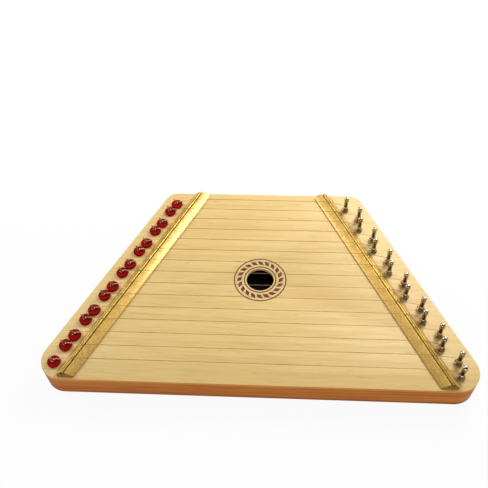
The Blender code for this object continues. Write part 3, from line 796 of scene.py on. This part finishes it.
class HARP_OT_stage(HarpOperator):
    """Set the camera, the lamps, the dark card and the white floor"""

    bl_idname = "harp.stage"
    bl_label = "Stage"

    def execute(self, context):
        scene = context.scene
        scene.view_settings.view_transform = "Standard"
        camera = linked("camera", bpy.data.cameras.new("camera"))
        camera.data.lens = self.sizes.lens
        camera.data.sensor_width = SENSOR_WIDTH
        camera.data.clip_start = NEAR_CLIP
        turn = Matrix.Rotation(CAMERA_YAW, 4, "Z") @ Matrix.Rotation(CAMERA_PITCH, 4, "X")
        turn = turn @ Matrix.Rotation(CAMERA_ROLL, 4, "Z")
        camera.matrix_world = Matrix.Translation(CAMERA_PLACE) @ turn
        scene.camera = camera

        for name, place, target, size, power in LAMPS:
            self.lamp(name, place, target, size, power)
        self.card("dark_room", CARD_PLACE, CARD_WIDTH, CARD_DEPTH)

        world = bpy.data.worlds.new("white_room")
        world.use_nodes = True
        scene.world = world
        tree = world.node_tree
        tree.nodes.clear()
        path = add_node(tree, "ShaderNodeLightPath")
        colour = (1.0, 1.0, 1.0, 1.0)
        soft = add_node(tree, "ShaderNodeBackground", {"Color": colour, "Strength": ROOM_STRENGTH})
        white = add_node(tree, "ShaderNodeBackground", {"Color": colour, "Strength": 1.0})
        seen = add_node(
            tree, "ShaderNodeMath",
            {0: path.outputs["Is Camera Ray"], 1: path.outputs["Is Transmission Ray"]}, operation="MAXIMUM")
        seen = add_node(
            tree, "ShaderNodeMath",
            {0: seen.outputs[0], 1: path.outputs["Is Glossy Ray"]}, operation="MAXIMUM")
        both = add_node(tree, "ShaderNodeMixShader", {0: seen.outputs[0]})
        tree.links.new(soft.outputs[0], both.inputs[1])
        tree.links.new(white.outputs[0], both.inputs[2])
        tree.links.new(both.outputs[0], add_node(tree, "ShaderNodeOutputWorld").inputs["Surface"])

        mesh = bpy.data.meshes.new("floor")
        corners = [(x * FLOOR_REACH, y * FLOOR_REACH, -FLOOR_DROP) for x, y in SQUARE]
        mesh.from_pydata(corners, [], [(0, 1, 2, 3)])
        mesh.materials.append(white_floor())
        linked("floor", mesh)
        return {"FINISHED"}

    def lamp(self, name, place, target, size, power):
        """An area lamp that looks at a point."""
        data = bpy.data.lights.new(name, "AREA")
        data.shape = "DISK"
        data.size = size
        data.energy = power
        made = linked(name, data)
        direction = Vector(target) - Vector(place)
        turn = direction.to_track_quat("-Z", "Y").to_matrix().to_4x4()
        made.matrix_world = Matrix.Translation(place) @ turn

    def card(self, name, place, width, depth):
        """A black card that only shows as a reflection, as a photographer sets for metal."""
        mesh = bpy.data.meshes.new(name)
        corners = [(x * width / 2, y * depth / 2, 0) for x, y in SQUARE]
        mesh.from_pydata(corners, [], [(0, 1, 2, 3)])
        black, tree, shader, _ = new_material(name + "_black")
        shader.inputs["Base Color"].default_value = linear("060606")
        shader.inputs["Roughness"].default_value = 1.0
        shader.inputs["Specular IOR Level"].default_value = 0.0
        mesh.materials.append(black)
        made = linked(name, mesh)
        made.matrix_world = Matrix.Translation(place)
        made.visible_camera = False
        made.visible_diffuse = False
        made.visible_transmission = False
        made.visible_shadow = False


class HARP_OT_body(HarpOperator):
    """Make the soundboard, the stained sides and the back board"""

    bl_idname = "harp.body"
    bl_label = "Body"

    def execute(self, context):
        outline = body_outline()
        edge = self.sizes.edge_round * MM
        stain = stained_wood(self.colours)
        hole = circle((0, self.sizes.hole_y * MM), self.sizes.hole_radius * MM)
        board = flat_solid("soundboard_plate", [outline, hole], BOARD_LOW.z, TOP)
        board = softened(board, edge, segments=3)
        painted(board, soundboard_wood(self.colours), stain, self.is_outer_side)
        ridden(board, "soundboard_wood", "soundboard")

        low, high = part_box("back_board")
        back = softened(flat_solid("back_plate", [outline], low.z, high.z), edge, segments=3)
        back_wood = plain_wood("plywood_back", "D2A467", "A97840", 0.55)
        painted(back, back_wood, stain, is_side)
        # Painted shade: the inner face of the back board is near black, for the dark inside of the closed box
        back.data.materials.append(plain_wood("dark_hardboard_inside", "2A1C12", "140C07", 0.8))
        for face in back.data.polygons:
            if face.normal.z > LEVEL_FACE_LIMIT and face.center.z > high.z - SURFACE_TOLERANCE:
                face.material_index = INSIDE_PAINTED_SHADE
        ridden(back, "back_wood", "back_board")

        low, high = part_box("front_rib")
        foot = low.z - WALL_OVERLAP
        brow = high.z + WALL_OVERLAP
        for side, name in ((-1, "hitch_pin_block"), (1, "tuning_pin_block")):
            normal = Vector((side * math.cos(SIDE_ANGLE), math.sin(SIDE_ANGLE)))
            strip = clipped(outline, inside_edge(0, PIN_BLOCK_WIDTH, side), normal)
            block = flat_solid(name.replace("block", "side"), [strip], foot, brow)
            ridden(painted(softened(block, 0), stain), "side_wood", name)

        between = outline
        for side in (-1, 1):
            normal = Vector((-side * math.cos(SIDE_ANGLE), -math.sin(SIDE_ANGLE)))
            between = clipped(between, inside_edge(0, PIN_BLOCK_WIDTH + RIB_JOINT_GAP, side), normal)
        for facing, name in ((-1, "front_rib"), (1, "back_rib")):
            line = Vector((0, facing * (BODY_DEPTH / 2 - RIB_THICKNESS)))
            strip = clipped(between, line, Vector((0, facing)))
            rib = flat_solid(name + "_board", [strip], foot, brow)
            ridden(painted(softened(rib, 0), stain), "side_wood", name)

        brace = plain_wood("bare_spruce_brace", "E0C08C", "BF9459", 0.7)
        for name in ("left_brace", "right_brace"):
            frame["nodes"][name].data.materials.clear()
            frame["nodes"][name].data.materials.append(brace)
        return {"FINISHED"}

    def is_outer_side(self, face):
        """Whether a face is on the outer edge, which is stained; the hole's wall is bare."""
        from_hole = math.hypot(face.center.x, face.center.y - self.sizes.hole_y * MM)
        return is_side(face) and from_hole > 2 * self.sizes.hole_radius * MM


class HARP_OT_rosette(HarpOperator):
    """Print the rosette round the sound hole"""

    bl_idname = "harp.rosette"
    bl_label = "Rosette"

    def execute(self, context):
        sizes = self.sizes
        paint = maroon_paint(self.colours)
        leaves = run_tree(linked("rosette_leaf_ring", bpy.data.meshes.new("leaves")), leaf_tree(), {
            "Count": sizes.leaf_count,
            "Ring Radius": sizes.leaf_ring * MM,
            "Leaf Length": sizes.leaf_length * MM / 2,
            "Leaf Width": sizes.leaf_width * MM / 2,
            "Thickness": PAINT_THICKNESS,
            "Slant": LEAF_SLANT,
            "Finish": paint,
        })
        centre = Matrix.Translation((0, sizes.hole_y * MM, TOP + PAINT_THICKNESS))
        leaves.data.transform(centre)
        ridden(leaves, "soundboard_wood")
        half = PAINT_THICKNESS / 2
        for name, (inner, outer) in ROSETTE_LINES.items():
            section = [(inner, half), (outer, half), (outer, -half), (inner, -half)]
            line = turned(name, section, steps=120, closed=True)
            line.data.transform(centre)
            ridden(painted(line, paint), "soundboard_wood")
        return {"FINISHED"}


class HARP_OT_bridges(HarpOperator):
    """Make the two golden bridges and their brass rods"""

    bl_idname = "harp.bridges"
    bl_label = "Bridges"

    def execute(self, context):
        gold = gold_lacquer(self.colours)
        end_grain = bridge_end_grain()
        # Dark wood tone that paints the shade in the groove under the rod
        groove = plain_wood("shadowed_bare_groove", "5E4210", "3A2806", 0.9)
        # Darker lacquer tone that paints the shade line along the bridge's low edges
        edge = plain_wood("bridge_edge_lacquer", "B48C3C", "8A6620", 0.5)
        brass = metal("drawn_brass", "CCAE52", "A28438", 0.42, (900.0, 60.0, 900.0))
        for side, name in ((-1, "left_bridge"), (1, "right_bridge")):
            low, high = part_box(name)
            half_length = (high.y - low.y) / 2
            section = self.section(side)
            bridge = flat_solid(name + "_lacquered", [section], -half_length, half_length)
            for vertex in bridge.data.vertices:
                if vertex.co.z > 0:
                    vertex.co.z -= vertex.co.y * FRONT_END_SLOPE
            middle = rod_place((low.y + high.y) / 2, side)
            slope = SIDE_SLOPE + ROD_SPLAY / math.cos(SIDE_ANGLE)
            bridge.data.transform(Matrix((
                (1, 0, side * slope, middle.x),
                (0, 0, -1, middle.y),
                (0, 1, 0, low.z - BRIDGE_SINK),
                (0, 0, 0, 1),
            )))
            for arc in self.sharp_corner_arcs(side, low.y, high.y):
                self.cut_back(bridge.data, arc)
            bridge = softened(bridge, BRIDGE_EDGE_ROUND)
            painted(bridge, gold, end_grain, lambda face: abs(face.normal.y) > END_FACE_LIMIT)
            bridge.data.materials.append(groove)
            bridge.data.materials.append(edge)
            self.paint_groove_and_edges(bridge, side)
            ridden(bridge, "gold_lacquer", name)

            low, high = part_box(name + "_rod")
            height = (low.z + high.z) / 2
            ends = [(*rod_place(y, side), height) for y in (low.y, high.y)]
            rod = tube(name + "_fret_rod", ends, 2 * ROD_RADIUS, sides_level=10)
            rod = softened(rod, ROD_EDGE_ROUND)
            ridden(painted(rod, brass), "brass_rod", name + "_rod")
        return {"FINISHED"}

    def paint_groove_and_edges(self, bridge, side):
        """Paint shade into the groove under the rod with a dark wood tone, and along the low outer edges with
        a darker lacquer tone.
        """
        for face in bridge.data.polygons:
            axis = rod_place(face.center.y, side).x
            from_axis = abs(face.center.x - axis) * math.cos(SIDE_ANGLE)
            below = face.center.z < TOP + RIDGE_HEIGHT - GROOVE_LIP
            upright = abs(face.normal.z) < LOW_EDGE_LIMIT
            if from_axis < GROOVE_RADIUS and below and abs(face.normal.y) < END_FACE_LIMIT:
                face.material_index = GROOVE_PAINTED_SHADE
            elif from_axis > GROOVE_RADIUS and upright and face.material_index == 0:
                face.material_index = EDGE_PAINTED_SHADE

    def section(self, side):
        """The bridge's outline square to Y: a low roof with a round groove along its ridge."""
        rod_height = RIDGE_HEIGHT + ROD_STAND_OUT - ROD_RADIUS
        groove_height = rod_height - ROD_RADIUS - ROD_SEAT_GAP + GROOVE_RADIUS
        start = math.asin((RIDGE_HEIGHT - groove_height) / GROOVE_RADIUS)
        steps = 16
        groove = []
        for step in range(steps + 1):
            angle = start - (math.pi + 2 * start) * step / steps
            across = GROOVE_RADIUS * math.cos(angle)
            groove.append((across, groove_height + GROOVE_RADIUS * math.sin(angle)))
        half_ridge = RIDGE_WIDTH / 2
        roof = [(-OUTER_FOOT, 0), (INNER_FOOT, 0), (INNER_FOOT, EDGE_HEIGHT), (half_ridge, RIDGE_HEIGHT)]
        roof += groove
        roof += [(-half_ridge, RIDGE_HEIGHT), (-OUTER_FOOT, EDGE_HEIGHT)]
        return [(-side * across / math.cos(SIDE_ANGLE), height) for across, height in roof]

    def sharp_corner_arcs(self, side, front, back):
        """The arcs that round a bridge's two sharp corners, seen from above: front outer and back inner."""
        outward = Vector((side * OUTER_FOOT / math.cos(SIDE_ANGLE), 0))
        inward = Vector((-side * INNER_FOOT / math.cos(SIDE_ANGLE), 0))
        front_outer = rod_place(front, side) + outward
        front_inner = rod_place(front, side) + inward
        back_outer = rod_place(back, side) + outward
        back_inner = rod_place(back, side) + inward
        arcs = []
        for corner in ((front_inner, front_outer, back_outer), (back_outer, back_inner, front_inner)):
            before, point, after = corner[::side]
            arc = rounded_corner(before, point, after, BRIDGE_CORNER_RADIUS)
            arcs.append(arc[::CORNER_CUT_STRIDE])
        return arcs

    def cut_back(self, mesh, arc):
        """Cut a corner of a closed mesh back to upright planes along an arc, and close each cut."""
        shape = bmesh.new()
        shape.from_mesh(mesh)
        for start, end in zip(arc, arc[1:]):
            along = end - start
            found = bmesh.ops.bisect_plane(
                shape,
                geom=shape.verts[:] + shape.edges[:] + shape.faces[:],
                plane_co=(*start, 0),
                plane_no=(along.y, -along.x, 0),
                clear_outer=True,
            )
            rim = [item for item in found["geom_cut"] if isinstance(item, bmesh.types.BMEdge)]
            bmesh.ops.contextual_create(shape, geom=rim)
        bmesh.ops.recalc_face_normals(shape, faces=shape.faces)
        shape.to_mesh(mesh)
        shape.free()


class HARP_OT_hitch_pins(HarpOperator):
    """Set the hitch pins and their red felt washers"""

    bl_idname = "harp.hitch_pins"
    bl_label = "Hitch pins and felts"

    def execute(self, context):
        tree = scatter_tree("one_at_each_point")
        steel = metal("bright_steel_nail", "B4A88E", "7E7056", 0.2, (900.0, 900.0, 80.0))
        height = self.sizes.hitch_height * MM
        radius = HITCH_RADIUS
        profile = [
            (0, height),
            (0.45 * radius, height - 0.06 * radius),
            (0.8 * radius, height - 0.3 * radius),
            (radius, height - 0.75 * radius),
            (radius, -HITCH_DEPTH + radius),
            (0, -HITCH_DEPTH),
        ]
        nail = turned("nail_template", profile, steps=20)
        nail.data.shade_smooth()
        places = [(*hitch_place(index), TOP) for index in range(STRINGS)]
        nails = self.scattered("hitch_nails", places, tree, nail, -HITCH_LEAN, 0.0, steel)
        ridden(nails, "string_steel")

        felt = self.felt_template()
        washer_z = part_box("felt_washer_01")[0].z
        middle = washer_z + self.sizes.felt_thickness * MM / 2
        places = [(*hitch_axis_at(index, middle), washer_z) for index in range(STRINGS)]
        felts = self.scattered("felt_discs", places, tree, felt, 0.0, math.tau, red_felt(self.colours))
        names = [f"felt_washer_{index + 1:02d}" for index in range(STRINGS)]
        ridden(felts, "red_felt", *names)
        return {"FINISHED"}

    def scattered(self, name, places, tree, template, lean, turn, finish):
        """A template set on each place and baked to one mesh."""
        mesh = bpy.data.meshes.new(name)
        mesh.from_pydata(places, [], [])
        values = {"Template": template, "Lean": lean, "Turn": turn, "Seed": 3, "Finish": finish}
        made = run_tree(linked(name, mesh), tree, values)
        bpy.data.objects.remove(template)
        return made

    def felt_template(self):
        """One felt washer: a disc with soft edges, pressed a little uneven."""
        outer = self.sizes.felt_radius * MM
        top = self.sizes.felt_thickness * MM
        inner = 1.5 * MM
        soft = 0.7 * MM
        chamfer = 0.3 * MM
        rings = 7
        profile = [(inner, top - chamfer)]
        profile += [(inner + (outer - soft - inner) * ring / rings, top) for ring in range(1, rings + 1)]
        profile += [
            (outer - soft * (1 - math.sin(turn)), top - soft * (1 - math.cos(turn)))
            for turn in (math.radians(30), math.radians(60), math.radians(90))
        ]
        profile += [(outer, 0.5 * top), (outer, chamfer), (outer - chamfer, 0.0), (inner, 0.0)]
        made = turned("felt_template", profile, steps=56, closed=True)
        waves_per_metre = 900.0
        rim_wave = 0.12 * MM
        top_wave = 0.08 * MM
        dish_depth = 0.25 * MM
        for vertex in made.data.vertices:
            wave = noise.noise(vertex.co * waves_per_metre)
            out = Vector((vertex.co.x, vertex.co.y, 0)).normalized()
            radius = math.hypot(vertex.co.x, vertex.co.y)
            if radius > outer - SURFACE_TOLERANCE:
                vertex.co -= out * (rim_wave * (1 + wave))
            if vertex.co.z > top - SURFACE_TOLERANCE:
                dish = dish_depth * (1 - (radius / outer) ** 2)
                vertex.co.z -= dish + top_wave * (1 + wave)
        made.data.shade_smooth()
        return made


class HARP_OT_tuning_pins(HarpOperator):
    """Turn the nickel tuning pins"""

    bl_idname = "harp.tuning_pins"
    bl_label = "Tuning pins"

    def execute(self, context):
        nickel = metal("nickel_plated_steel", "B2A68E", "887C64", 0.04, (700.0, 700.0, 60.0))
        top = self.sizes.pin_height * MM
        template = turned("pin_template", self.profile(top), steps=40)
        template.data.shade_smooth()
        sharp = math.radians(60)
        template.data.set_sharp_from_angle(angle=sharp)
        for index in range(STRINGS):
            number = f"{index + 1:02d}"
            pin = linked(f"wrest_pin_{number}", template.data.copy())
            place = pin_place(index)
            turn = Matrix.Rotation(PIN_TURN_STEP * index, 4, "Z")
            pin.data.transform(Matrix.Translation((*place, TOP)) @ turn)
            painted(pin, nickel)
            body = f"tuning_pin_{number}_turning"
            ridden(pin, "tuning_pin_nickel", f"tuning_pin_{number}", body=body)
        bpy.data.objects.remove(template)
        return {"FINISHED"}

    def profile(self, top):
        """A tuning pin from its domed head down to its end in the block."""
        head = 2.85 * MM
        shank = 2.45 * MM
        neck = 1.9 * MM
        neck_foot = 6.2 * MM
        neck_top = 7.5 * MM
        head_length = 6.0 * MM
        edge = 0.7 * MM
        dome = 2.1 * MM
        depth = 20.0 * MM
        rows = [
            (head * math.sin(turn), top - dome * (1 - math.cos(turn)))
            for turn in (math.radians(15 * step) for step in range(1, 7))
        ]
        return [
            (0, top),
            *rows,
            (head, top - head_length + edge),
            (head - 0.1 * MM, top - head_length + 0.4 * edge),
            (shank, top - head_length),
            (shank, neck_top + edge),
            (0.5 * (shank + neck), neck_top + 0.35 * edge),
            (neck, neck_top),
            (neck, neck_foot),
            (0.5 * (PIN_RADIUS + neck), neck_foot - 0.35 * edge),
            (PIN_RADIUS, neck_foot - edge),
            (PIN_RADIUS, edge - depth),
            (PIN_RADIUS - edge, -depth),
            (0, -depth),
        ]


class HARP_OT_strings(HarpOperator):
    """Run the fifteen steel strings"""

    bl_idname = "harp.strings"
    bl_label = "Strings"

    def execute(self, context):
        steel = metal("drawn_steel_wire", "947E58", "6A5434", 0.42, (90.0, 1200.0, 1200.0))
        wound = metal("bright_wound_wire", "B89E74", "7C603A", 0.22, (1200.0, 1200.0, 1200.0))
        # Painted highlight: a lighter copy of the steel for the white line that the twisted ends show
        twisted = metal("bright_twisted_wire", "BCAE94", "8A7A5E", 0.25, (1200.0, 1200.0, 1200.0))
        self.diameter = self.sizes.string_diameter * MM
        rod_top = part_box("left_bridge_rod")[1].z
        felt_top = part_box("felt_washer_01")[1].z
        self.string_z = rod_top + SEAT_GAP + self.diameter / 2
        self.loop_z = felt_top + SEAT_GAP + self.diameter / 2
        for index in range(STRINGS):
            y = BACK_Y - STRING_BACK_MARGIN - STRING_PITCH * index
            contacts = [(*rod_place(y - side * STRING_SKEW, side), self.string_z) for side in (-1, 1)]
            route = self.loop(index, contacts[0]) + contacts + self.winding(index, contacts[1])
            wire = tube(f"string_wire_{index + 1:02d}", self.run_on(route), self.diameter, sides_level=3)
            wire.data.shade_smooth()
            twist_end = contacts[0][0] - TWIST_CLEARANCE
            winding_start = pin_place(index).x - WINDING_REACH
            painted(wire, steel, wound, lambda face: face.center.x > winding_start)
            wire.data.materials.append(twisted)
            # The twisted ends take the lighter steel that paints their highlight
            for face in wire.data.polygons:
                if face.center.x < twist_end:
                    face.material_index = TWIST_PAINTED_HIGHLIGHT
            ridden(wire, "string_steel", f"string_{index + 1:02d}")
        return {"FINISHED"}

    def tangent(self, centre, radius, outside, side):
        """Where a line from an outside point touches a circle, on the side asked for."""
        way = centre - outside
        turn_by = side * (math.pi / 2 + math.asin(radius / way.length))
        return centre + Matrix.Rotation(turn_by, 2) @ way.normalized() * radius

    def winding(self, index, contact):
        """The string's turns down its tuning pin, clockwise seen from above."""
        centre = pin_place(index)
        radius = PIN_RADIUS + SEAT_GAP + self.diameter / 2
        start = self.tangent(centre, radius, Vector(contact[:2]), 1) - centre
        start_angle = math.atan2(start.y, start.x)
        steps = 24
        points = []
        for this_stop, next_stop in zip(WINDING_COURSE, WINDING_COURSE[1:]):
            turn, out, height = this_stop
            next_turn, next_out, next_height = next_stop
            count = round((next_turn - turn) * steps)
            for step in range(count):
                share = step / count
                angle = start_angle - math.tau * (turn + (next_turn - turn) * share)
                reach = radius + out + (next_out - out) * share
                z = TOP + height + (next_height - height) * share
                x = centre.x + reach * math.cos(angle)
                y = centre.y + reach * math.sin(angle)
                points.append((x, y, z))
        return points

    def loop(self, index, contact):
        """The string's loop round its hitch pin, from its free end to its way out."""
        radius = HITCH_RADIUS + SEAT_GAP + self.diameter / 2
        centre = hitch_axis_at(index, self.loop_z)
        leave = self.tangent(centre, radius, Vector(contact[:2]), -1) - centre
        leave_angle = math.atan2(leave.y, leave.x)
        start = Vector((centre.x + leave.x, centre.y + leave.y, self.loop_z))
        points = self.twist(start, Vector(contact))
        steps = 20
        for step in range(steps, -1, -1):
            turns = step / steps
            height = self.loop_z + LOOP_RISE * turns
            pin = hitch_axis_at(index, height)
            angle = leave_angle + math.tau * turns
            points.append((pin.x + radius * math.cos(angle), pin.y + radius * math.sin(angle), height))
        return points

    def twist(self, start, contact):
        """The free end wound back along the string, ending on top of it next to the hitch pin."""
        along = (contact - start).normalized()
        across = along.cross(Vector((0, 0, 1))).normalized()
        over = across.cross(along)
        steps = 14
        points = []
        for step in range(TWIST_TURNS * steps, -1, -1):
            turns = step / steps
            angle = math.pi / 2 + math.tau * turns
            middle = start + along * (TWIST_START + TWIST_PITCH * turns)
            spoke = across * math.cos(angle) + over * math.sin(angle)
            points.append(tuple(middle + spoke * TWIST_RADIUS))
        return points

    def run_on(self, points):
        """The points with each end carried straight on for one string diameter."""
        start, second = (Vector(point) for point in points[:2])
        fore, end = (Vector(point) for point in points[-2:])
        first = start + (start - second).normalized() * self.diameter
        last = end + (end - fore).normalized() * self.diameter
        return [tuple(first), *points, tuple(last)]


STEPS = (
    HARP_OT_stage,
    HARP_OT_body,
    HARP_OT_rosette,
    HARP_OT_bridges,
    HARP_OT_hitch_pins,
    HARP_OT_tuning_pins,
    HARP_OT_strings,
)


class HARP_PT_panel(bpy.types.Panel):
    """Sidebar panel that lists the harp's sizes, colours and steps"""

    bl_idname = "HARP_PT_panel"
    bl_label = "Lap harp"
    bl_space_type = "VIEW_3D"
    bl_region_type = "UI"
    bl_category = "Harp"

    def draw(self, context):
        for group in (context.scene.harp_sizes, context.scene.harp_colours):
            column = self.layout.column(align=True)
            for name in group.__annotations__:
                column.prop(group, name)
        for step in STEPS:
            self.layout.operator(step.bl_idname)


CLASSES = (HarpSizes, HarpColours, *STEPS, HARP_PT_panel)


def register():
    for item in CLASSES:
        bpy.utils.register_class(item)
    bpy.types.Scene.harp_sizes = PointerProperty(type=HarpSizes)
    bpy.types.Scene.harp_colours = PointerProperty(type=HarpColours)


def unregister():
    del bpy.types.Scene.harp_sizes
    del bpy.types.Scene.harp_colours
    for item in reversed(CLASSES):
        bpy.utils.unregister_class(item)


def main():
    """Register the add-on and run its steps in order."""
    register()
    for step in STEPS:
        group, name = step.bl_idname.split(".")
        getattr(getattr(bpy.ops, group), name)()
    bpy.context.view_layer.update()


if __name__ == "__main__":
    main()
